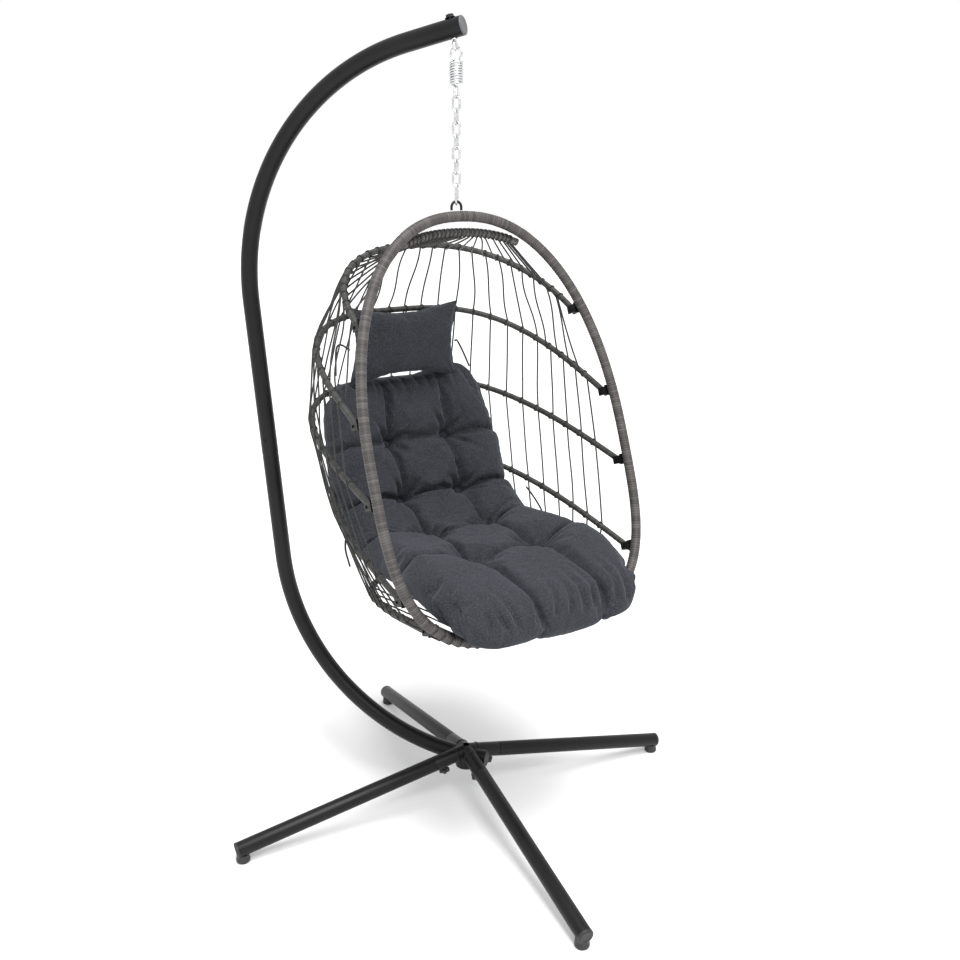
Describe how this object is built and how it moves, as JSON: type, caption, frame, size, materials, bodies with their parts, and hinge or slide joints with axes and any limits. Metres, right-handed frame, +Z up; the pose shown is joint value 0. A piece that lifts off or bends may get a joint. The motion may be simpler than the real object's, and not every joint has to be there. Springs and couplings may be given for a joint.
{
  "type": "hanging egg chair",
  "caption": "Egg-shaped hanging chair: a folding corded basket with cushion and pillow on a spring and chain under a C-shaped pole with a cross base.",
  "frame": {"origin": "middle of the whole chair's footprint, on the floor", "axes": "+Z up; the pole's bow bulges towards +Y and its tip reaches back over the base towards -Y; the open front of the basket faces -Y turned 38 degrees towards -X"},
  "size_m": [0.8926, 1.049, 1.9477],
  "materials": {
    "frame": "semi-gloss black powder coat",
    "black_plastic": "satin",
    "grey_plastic": "satin",
    "zinc": "bright zinc plate",
    "rattan": "flat woven plastic rattan strand",
    "rib_wrap": "wound strand",
    "cord": "round plastic strand",
    "cushion_fabric": "charcoal heather weave"
  },
  "bodies": {
    "stand": {"base_hub": "frame", "lower_pole": "frame", "upper_pole": "frame", "pole_screw": "frame", "pole_end_cap": "grey_plastic", "eye_bolt": "zinc", "eye_bolt_nut": "frame", "leg_rear_left": "frame", "leg_front_left": "frame", "leg_front_right": "frame", "leg_rear_right": "frame", "foot_cap_rear_left": "black_plastic", "foot_cap_front_left": "black_plastic", "foot_cap_front_right": "black_plastic", "foot_cap_rear_right": "black_plastic"},
    "spring": {"suspension_spring": "zinc"},
    "link_1": {"chain_link_1": "zinc"},
    "link_2": {"chain_link_2": "zinc"},
    "links_3_4": {"chain_link_3": "zinc", "chain_link_4": "zinc"},
    "links_5_7": {"chain_link_5": "zinc", "chain_link_6": "zinc", "chain_link_7": "zinc"},
    "quick_link": {"quick_link": "zinc", "quick_link_nut": "zinc"},
    "basket": {"rim": "rattan", "top_bow": "rattan", "hanging_ring": "frame", "rib_bracket_left_1": "frame", "rib_bracket_right_1": "frame", "rib_bracket_left_2": "frame", "rib_bracket_right_2": "frame", "rib_bracket_left_3": "frame", "rib_bracket_right_3": "frame", "rib_bracket_left_4": "frame", "rib_bracket_right_4": "frame", "rib_bracket_left_5": "frame", "rib_bracket_right_5": "frame", "cords_bow_to_rib_1": "cord", "cords_rib_5_to_rim": "cord", "seat_cushion": "cushion_fabric", "head_pillow": "cushion_fabric", "pillow_tie_left": "cushion_fabric", "pillow_tie_right": "cushion_fabric", "cushion_tie_left": "cushion_fabric", "cushion_tie_right": "cushion_fabric"},
    "rib_1": {"rib_1": "rib_wrap", "cords_rib_1_to_2": "cord"},
    "rib_2": {"rib_2": "rib_wrap", "cords_rib_2_to_3": "cord"},
    "rib_3": {"rib_3": "rib_wrap", "cords_rib_3_to_4": "cord"},
    "rib_4": {"rib_4": "rib_wrap", "cords_rib_4_to_5": "cord"},
    "rib_5": {"rib_5": "rib_wrap"},
    "clamp_knob_rear_left": {"clamp_knob_rear_left": "black_plastic"},
    "clamp_knob_front_left": {"clamp_knob_front_left": "black_plastic"},
    "clamp_knob_front_right": {"clamp_knob_front_right": "black_plastic"},
    "clamp_knob_rear_right": {"clamp_knob_rear_right": "black_plastic"}
  },
  "joints": [
    {"name": "swing_fore_aft", "type": "hinge", "parent": "stand", "child": "spring", "pos_m": [0, -0.05217, 1.87251], "axis": [1, 0, 0], "range_deg": [-20, 6]},
    {"name": "spring_bounce", "type": "slide", "parent": "spring", "child": "link_1", "axis": [0, 0, -1], "range_m": [-0.005, 0.035], "stiffness_N_per_m": 23000, "springref_m": -0.0065, "deforming": ["suspension_spring"]},
    {"name": "swing_sideways", "type": "hinge", "parent": "link_1", "child": "link_2", "pos_m": [0, -0.05217, 1.7453], "axis": [0, 1, 0], "range_deg": [-15, 15]},
    {"name": "chain_twist_upper", "type": "hinge", "parent": "link_2", "child": "links_3_4", "pos_m": [0, -0.05217, 1.7079], "axis": [0, 0, 1], "range_deg": [-15, 15]},
    {"name": "chain_twist_middle", "type": "hinge", "parent": "links_3_4", "child": "links_5_7", "pos_m": [0, -0.05217, 1.6545], "axis": [0, 0, 1], "range_deg": [-15, 15]},
    {"name": "chain_twist_lower", "type": "hinge", "parent": "links_5_7", "child": "quick_link", "pos_m": [0, -0.05217, 1.5685], "axis": [0, 0, 1], "range_deg": [-15, 15]},
    {"name": "basket_tilt", "type": "hinge", "parent": "quick_link", "child": "basket", "pos_m": [0, -0.05217, 1.5527], "axis": [0.7915, -0.611, 0.0165], "range_deg": [-12, 12]},
    {"name": "rib_4_fold", "type": "hinge", "parent": "basket", "child": "rib_4", "pos_m": [-0.1276, -0.26173, 0.72679], "axis": [0.7915, -0.611, 0.0165], "range_deg": [0, 46.5], "deforming": ["cords_bow_to_rib_1", "cords_rib_1_to_2", "cords_rib_2_to_3", "cords_rib_3_to_4", "cords_rib_4_to_5", "cords_rib_5_to_rim", "seat_cushion", "head_pillow", "pillow_tie_left", "pillow_tie_right", "cushion_tie_left", "cushion_tie_right"]},
    {"name": "rib_1_fold", "type": "hinge", "parent": "basket", "child": "rib_1", "pos_m": [-0.01256, -0.09748, 1.29228], "axis": [0.7915, -0.611, 0.0165], "range_deg": [0, 36.45]},
    {"name": "rib_2_fold", "type": "hinge", "parent": "basket", "child": "rib_2", "pos_m": [-0.05321, -0.15552, 1.09248], "axis": [0.7915, -0.611, 0.0165], "range_deg": [0, 42.35]},
    {"name": "rib_3_fold", "type": "hinge", "parent": "basket", "child": "rib_3", "pos_m": [-0.08676, -0.20342, 0.92754], "axis": [0.7915, -0.611, 0.0165], "range_deg": [0, 48.35]},
    {"name": "rib_5_fold", "type": "hinge", "parent": "basket", "child": "rib_5", "pos_m": [-0.14217, -0.28254, 0.65516], "axis": [0.7915, -0.611, 0.0165], "range_deg": [0, 63.75]},
    {"name": "clamp_knob_rear_left_turn", "type": "hinge", "parent": "stand", "child": "clamp_knob_rear_left", "pos_m": [-0.04403, -0.03414, 0.10546], "axis": [-0.1349, 0.1349, 0.9816], "continuous": true},
    {"name": "clamp_knob_front_left_turn", "type": "hinge", "parent": "stand", "child": "clamp_knob_front_left", "pos_m": [-0.04403, -0.12219, 0.10546], "axis": [-0.1349, -0.1349, 0.9816], "continuous": true},
    {"name": "clamp_knob_front_right_turn", "type": "hinge", "parent": "stand", "child": "clamp_knob_front_right", "pos_m": [0.04403, -0.12219, 0.10546], "axis": [0.1349, -0.1349, 0.9816], "continuous": true},
    {"name": "clamp_knob_rear_right_turn", "type": "hinge", "parent": "stand", "child": "clamp_knob_rear_right", "pos_m": [0.04403, -0.03414, 0.10546], "axis": [0.1349, 0.1349, 0.9816], "continuous": true}
  ],
  "couplings": [
    {"joint": "rib_1_fold", "follows": "rib_4_fold", "ratio": 0.7828},
    {"joint": "rib_2_fold", "follows": "rib_4_fold", "ratio": 0.90968},
    {"joint": "rib_3_fold", "follows": "rib_4_fold", "ratio": 1.0387},
    {"joint": "rib_5_fold", "follows": "rib_4_fold", "ratio": 1.3699}
  ]
}
